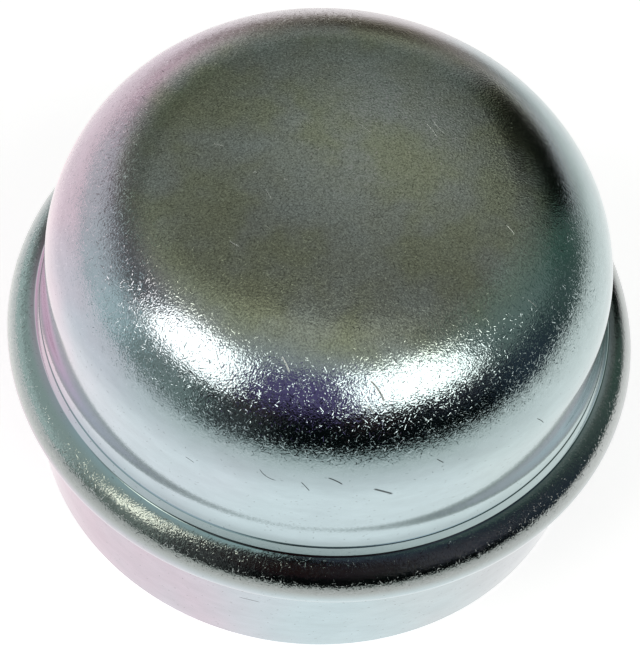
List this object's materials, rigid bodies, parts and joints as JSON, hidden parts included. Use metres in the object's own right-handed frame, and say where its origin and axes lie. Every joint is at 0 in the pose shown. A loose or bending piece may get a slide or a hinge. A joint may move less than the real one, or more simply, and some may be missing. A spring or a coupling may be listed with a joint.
{
  "type": "hub dust cap",
  "caption": "Pressed steel hub dust cap: a drawn cup with a rounded shoulder, a bead folded outwards all round and an open press-in skirt.",
  "frame": {"origin": "centre of the open rim of the skirt, in the plane of the rim that the cap stands on", "axes": "+Z along the cap's axis, from the open rim to the crown; +X and +Y lie in the rim's plane and the cap is round about +Z"},
  "size_m": [0.056, 0.056, 0.0367],
  "materials": {
    "zinc_plate": "bright zinc plate with a clear, faintly blue passivate, grainy on the crown and shoulder"
  },
  "bodies": {
    "root": {"dust_cap": "zinc_plate"}
  },
  "joints": []
}
